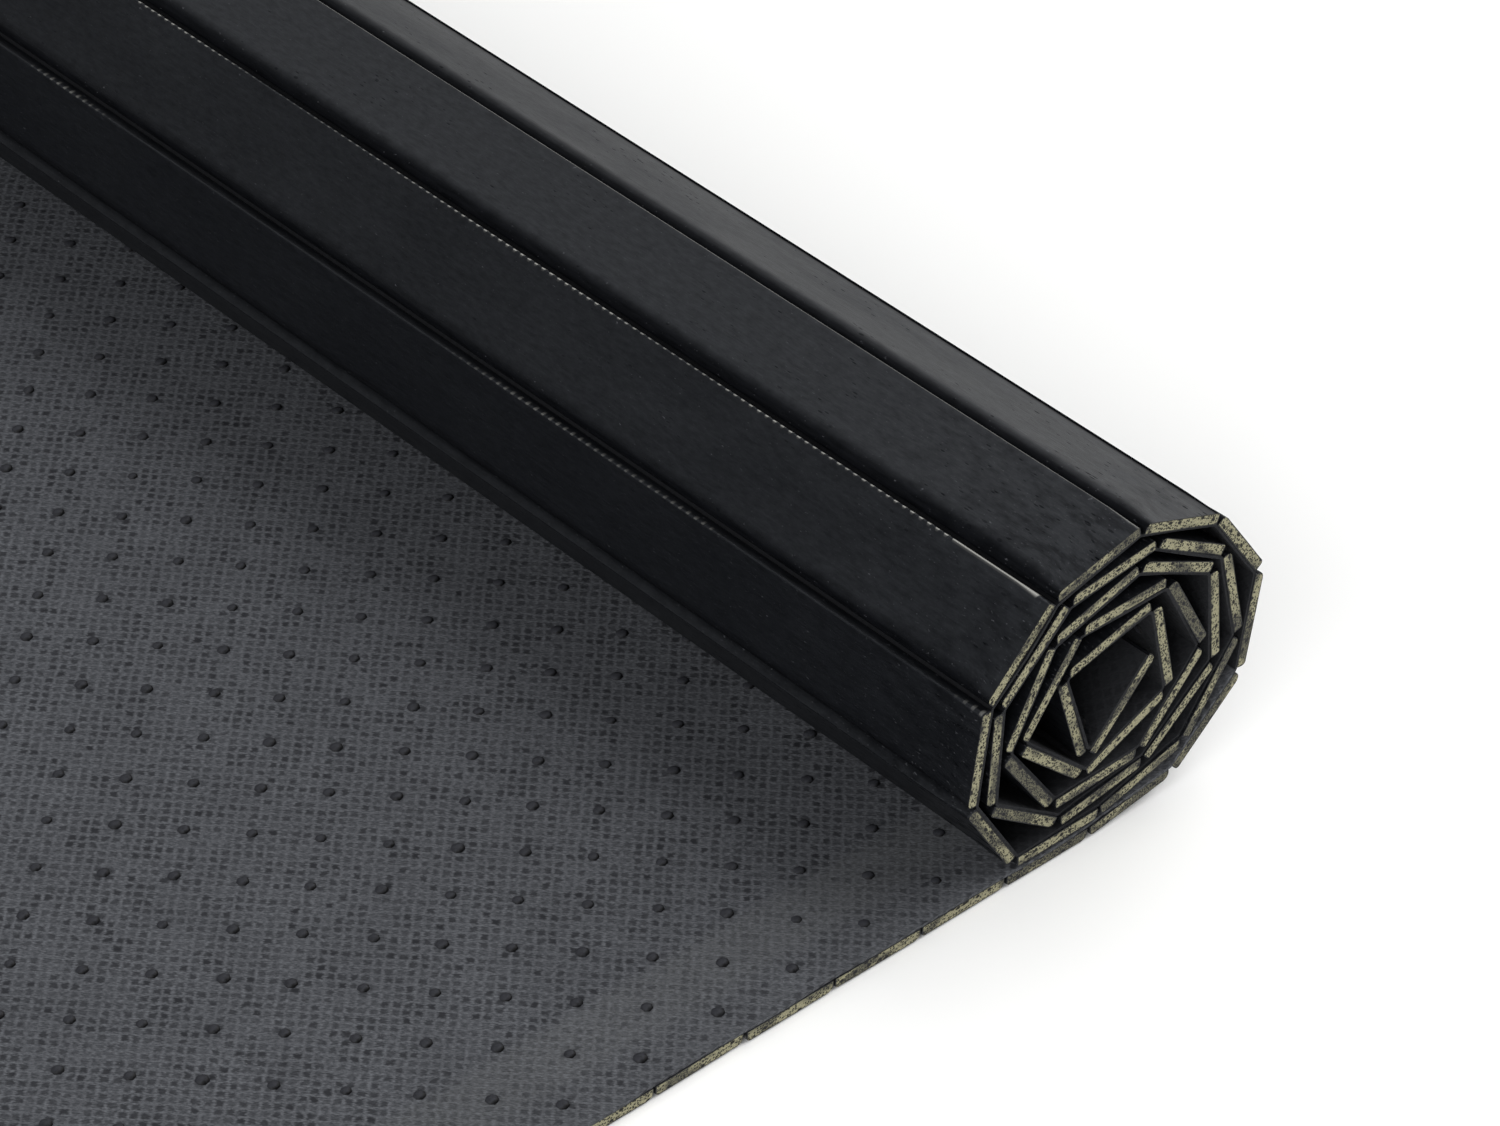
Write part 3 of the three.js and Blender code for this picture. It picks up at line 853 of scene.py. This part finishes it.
def makeCamera():
    # back points from the subject to the eye, right = up x back, and both right and up are turned
    # about it by the roll; the lens = focal length in pixels x sensor width / image width
    angles = (math.radians(camera[key]) for key in ("azimuth", "elevation", "roll"))
    azimuth, elevation, roll = angles
    level = math.cos(elevation)
    back = Vector((math.sin(azimuth) * level, -math.cos(azimuth) * level, math.sin(elevation)))
    right = Vector((0, 0, 1)).cross(back).normalized()
    up = back.cross(right)
    tilted = math.cos(roll) * right + math.sin(roll) * up
    upright = -math.sin(roll) * right + math.cos(roll) * up
    data = bpy.data.cameras.new("photoCamera")
    data.sensor_width = camera["sensor"]
    data.lens = camera["focalPixels"] * camera["sensor"] / camera["imageWidth"]
    data.clip_start, data.clip_end = camera["sees"]
    eye = bpy.data.objects.new("photoCamera", data)
    turn = Matrix((tilted, upright, back)).transposed().to_4x4()
    eye.matrix_world = Matrix.Translation(camera["place"]) @ turn
    bpy.context.scene.collection.objects.link(eye)
    bpy.context.scene.camera = eye


studio = {
    "floorColour": "#fdfdfc",
    "floorHalf": 6.0,      # half its width, metres
    "floorBelow": 0.4,     # mm under the slats, so that the two don't flicker
    "world": 0.22,
    "panels": [            # direction from the middle of the mat, then metres
        {"name": "keyPanel", "towards": (0.66, -0.22, 0.62), "away": 2.2,
         "size": (2.6, 2.0), "brightness": 2.85},
        {"name": "leftFillPanel", "towards": (-0.78, -0.38, 0.52), "away": 2.4,
         "size": (2.2, 1.4), "brightness": 4.3},
        {"name": "farRightPanel", "towards": (0.82, 0.56, 0.20), "away": 2.6,
         "size": (3.4, 1.1), "brightness": 0.22},
        {"name": "farTopPanel", "towards": (0.24, 0.56, 0.79), "away": 2.4,
         "size": (2.4, 1.6), "brightness": 0.42},
    ],
}


def makeStudio():
    # White emulsion paint, rolled on: matt, and a little uneven in its sheen. Each light is a
    # rectangle that faces the mat, with watts = brightness x pi x area.
    material, tree, shader = newMaterial("paleFloorPaint", {
        "Base Color": linear(studio["floorColour"]), "Specular IOR Level": 0.2})
    place = addNode(tree, "TexCoord", output="Object")
    cloud = addNode(tree, "TexNoise", {"Vector": place, "Scale": 2})
    rough = addNode(tree, "MapRange", {"Value": cloud, "To Min": 0.66, "To Max": 0.74})
    tree.links.new(rough, shader.inputs["Roughness"])
    half, level = studio["floorHalf"], -studio["floorBelow"] * mm
    corners = [(x * half, y * half, level) for x, y in ((-1, -1), (1, -1), (1, 1), (-1, 1))]
    mesh = bpy.data.meshes.new("studioFloor")
    mesh.from_pydata(corners, [], [(0, 1, 2, 3)])
    mesh.materials.append(material)
    floor = bpy.data.objects.new("studioFloor", mesh)
    bpy.context.scene.collection.objects.link(floor)

    world = bpy.data.worlds.new("studioWorld")
    world.use_nodes = True
    background = world.node_tree.nodes["Background"]
    background.inputs["Color"].default_value = (1, 1, 1, 1)
    background.inputs["Strength"].default_value = studio["world"]
    scene = bpy.context.scene
    scene.world = world
    scene.view_settings.view_transform = "Standard"
    for panel in studio["panels"]:
        width, height = panel["size"]
        data = bpy.data.lights.new(panel["name"], "AREA")
        data.shape, data.size, data.size_y = "RECTANGLE", width, height
        data.energy = panel["brightness"] * math.pi * width * height
        light = bpy.data.objects.new(panel["name"], data)
        towards = Vector(panel["towards"]).normalized()
        turn = (-towards).to_track_quat("-Z", "Y").to_matrix().to_4x4()
        light.matrix_world = Matrix.Translation(towards * panel["away"]) @ turn
        scene.collection.objects.link(light)


makeCamera()
print("camera set")
slatMaterials = [makeLacquer(), makeSawnBamboo()]
for number in range(len(slatNames)):
    makeSlat(number, slatMaterials)
print("slats made")
sheet = makeBacking([makeNonwoven(), makeGlueSide()])
dots = makeDots([makeGripPvc()])
makeStudio()
print("studio set")
